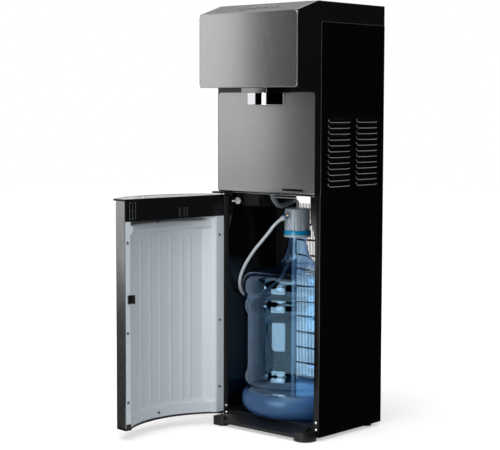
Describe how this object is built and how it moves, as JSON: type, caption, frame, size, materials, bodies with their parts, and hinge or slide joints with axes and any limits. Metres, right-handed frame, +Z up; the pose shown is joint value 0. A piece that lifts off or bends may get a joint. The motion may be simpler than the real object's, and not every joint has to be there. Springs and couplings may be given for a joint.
{
  "type": "bottom load water cooler",
  "caption": "Tall free-standing bottom load water cooler, its bowed front door swung open on a large bottle with a probe cap, hose, spouts under a sloping head and side louvres.",
  "frame": {"origin": "on the floor, at the centre of the footprint of the cooler with its door shut", "axes": "+Z up, -Y towards the front of the cabinet, +X to the right as seen from the front"},
  "size_m": [0.4238, 0.5635, 1.04],
  "materials": {
    "black_gloss": "gloss",
    "black_matte": "satin",
    "black_steel": "satin",
    "zinc_steel": "satin",
    "graphite_face": "satin",
    "silver_panel": "satin",
    "dark_grey_panel": "satin",
    "button_grey": "satin",
    "circuit_board": "satin",
    "chrome_trim": "polished",
    "white_plastic": "satin",
    "liner_white": "satin",
    "red_plastic": "satin",
    "blue_plastic": "satin",
    "black_rubber": "matte",
    "grey_rubber": "matte",
    "foam": "matte",
    "stainless": "satin",
    "compressor_black": "satin",
    "coil_black": "satin",
    "clear_blue": "gloss",
    "frosted_white": "satin",
    "cyan_plastic": "gloss",
    "brass_fitting": "polished",
    "silicone": "satin",
    "screw_steel": "satin"
  },
  "bodies": {
    "cabinet": {"base_moulding": "black_matte", "rubber_feet": "black_rubber", "left_side_panel": "black_steel", "right_side_panel": "black_steel", "pillar_gussets": "zinc_steel", "pillar_screws": "screw_steel", "top_cover": "black_gloss", "head_housing": "black_gloss", "head_face": "graphite_face", "control_panel": "dark_grey_panel", "control_board": "circuit_board", "front_frame": "black_gloss", "dispense_panel": "silver_panel", "nozzle_block": "chrome_trim", "nozzle_shroud": "chrome_trim", "spouts": "stainless", "rear_upper_panel": "black_steel", "power_inlet": "black_matte", "switch_frames": "black_matte", "drain_plugs": "black_matte", "rear_ducts": "black_matte", "condenser_coil": "coil_black", "condenser_wires": "coil_black", "compressor_shelf": "zinc_steel", "compressor_mounts": "black_rubber", "compressor": "compressor_black", "tank_shelf": "zinc_steel", "tank_insulation": "foam", "cold_tank": "stainless", "hot_tank": "stainless", "tank_tubes": "silicone", "pump_cover": "black_matte", "water_pump": "black_matte", "pump_elbow": "grey_rubber", "door_switch_body": "white_plastic", "bottle": "clear_blue", "probe_cap": "frosted_white", "cap_ring": "cyan_plastic", "siphon_tube": "white_plastic", "cap_fitting": "brass_fitting", "hose_nut": "white_plastic", "suction_hose": "silicone", "upper_hinge": "black_steel", "lower_hinge_pin": "screw_steel", "latch_strike": "black_matte"},
    "door": {"door_skin": "graphite_face", "door_top_cap": "black_gloss", "door_bottom_cap": "black_matte", "door_liner": "liner_white", "door_latch": "black_matte", "door_screws": "screw_steel"},
    "tray": {"drip_tray": "black_matte"},
    "grille": {"drip_grille": "silver_panel"},
    "hot_button": {"hot_button": "button_grey"},
    "warm_button": {"warm_button": "button_grey"},
    "cold_button": {"cold_button": "button_grey"},
    "lock_button": {"lock_button": "button_grey"},
    "plunger": {"door_switch_plunger": "white_plastic"},
    "hot_switch": {"hot_switch": "red_plastic"},
    "cold_switch": {"cold_switch": "blue_plastic"}
  },
  "joints": [
    {"name": "door_hinge", "type": "hinge", "parent": "cabinet", "child": "door", "pos_m": [-0.1515, -0.079, 0.3], "axis": [0, 0, -1], "range_deg": [-96, 24]},
    {"name": "tray_lift", "type": "slide", "parent": "door", "child": "tray", "axis": [0, 0, 1], "range_m": [0, 0.022]},
    {"name": "grille_lift", "type": "slide", "parent": "tray", "child": "grille", "axis": [0, 0, 1], "range_m": [0, 0.02]},
    {"name": "hot_button_push", "type": "slide", "parent": "cabinet", "child": "hot_button", "axis": [0, 0.3143, -0.9493], "range_m": [0, 0.0015], "stiffness_N_per_m": 300, "springref_m": -0.001},
    {"name": "warm_button_push", "type": "slide", "parent": "cabinet", "child": "warm_button", "axis": [0, 0.3143, -0.9493], "range_m": [0, 0.0015], "stiffness_N_per_m": 300, "springref_m": -0.001},
    {"name": "cold_button_push", "type": "slide", "parent": "cabinet", "child": "cold_button", "axis": [0, 0.3143, -0.9493], "range_m": [0, 0.0015], "stiffness_N_per_m": 300, "springref_m": -0.001},
    {"name": "lock_button_push", "type": "slide", "parent": "cabinet", "child": "lock_button", "axis": [0, 0.3143, -0.9493], "range_m": [0, 0.0015], "stiffness_N_per_m": 300, "springref_m": -0.001},
    {"name": "plunger_push", "type": "slide", "parent": "cabinet", "child": "plunger", "axis": [0, 1, 0], "range_m": [0, 0.003], "stiffness_N_per_m": 120, "springref_m": -0.002},
    {"name": "hot_switch_rock", "type": "hinge", "parent": "cabinet", "child": "hot_switch", "pos_m": [-0.07, 0.173, 0.6505], "axis": [1, 0, 0], "range_deg": [0, 10]},
    {"name": "cold_switch_rock", "type": "hinge", "parent": "cabinet", "child": "cold_switch", "pos_m": [-0.042, 0.173, 0.6505], "axis": [1, 0, 0], "range_deg": [0, 10]}
  ]
}
